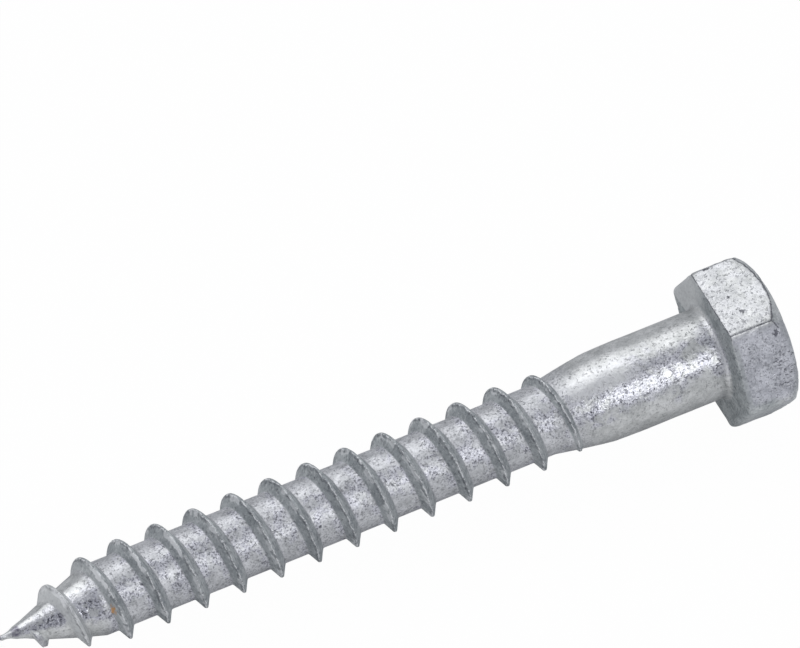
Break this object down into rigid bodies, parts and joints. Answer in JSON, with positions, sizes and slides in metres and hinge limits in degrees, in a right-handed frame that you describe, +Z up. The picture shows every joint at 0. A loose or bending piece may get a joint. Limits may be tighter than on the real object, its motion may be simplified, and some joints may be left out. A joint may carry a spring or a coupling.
{
  "type": "lag screw",
  "caption": "Hot-dip galvanised hex-head lag screw with a plain shank, a necked shoulder, a coarse right-hand wood thread and a gimlet point, lying at rest.",
  "frame": {"origin": "on the floor, under the middle of the screw's bounding box", "axes": "+Z up, +X towards the head, the point towards -X; the screw's axis slopes down 2.5 degrees towards the point"},
  "size_m": [0.1025, 0.0216, 0.019],
  "materials": {
    "galvanised_zinc": "hot-dip galvanised, patchy bright and matte"
  },
  "bodies": {
    "root": {"lag_screw": "galvanised_zinc"}
  },
  "joints": []
}
